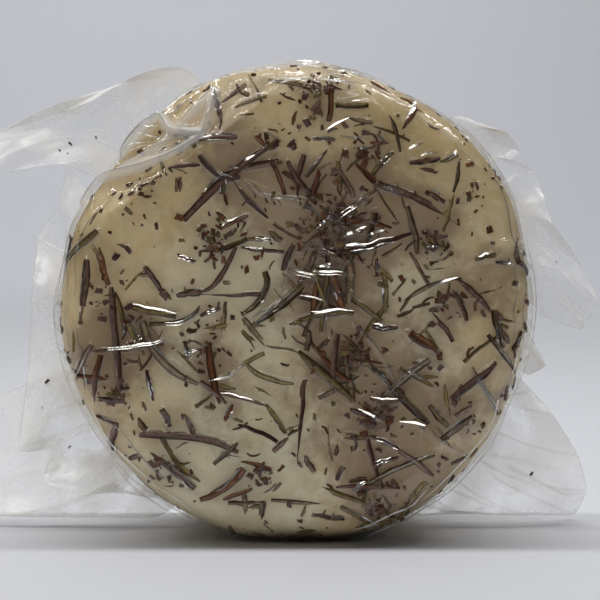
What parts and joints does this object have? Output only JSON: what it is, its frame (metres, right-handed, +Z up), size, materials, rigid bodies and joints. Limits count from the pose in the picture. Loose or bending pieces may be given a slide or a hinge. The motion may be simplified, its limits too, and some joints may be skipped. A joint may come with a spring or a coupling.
{
  "type": "rosemary-coated goat cheese",
  "caption": "Thick round of soft white goat cheese coated with dried rosemary needles and vacuum packed in a clear bag, standing on its rim as food to slice and serve.",
  "frame": {"origin": "on the floor under the middle of the wheel, in the flat spot that it stands on", "axes": "+Z up, -Y out of the coated face that shows, +X to the right of that face"},
  "size_m": [0.1689, 0.0543, 0.1216],
  "materials": {
    "cheese": "moist ivory curd with grey-green and brown rosemary",
    "film": "clear glossy film, drawn tight by the vacuum"
  },
  "bodies": {
    "root": {"goat_cheese": "cheese", "vacuum_bag": "film"}
  },
  "joints": []
}
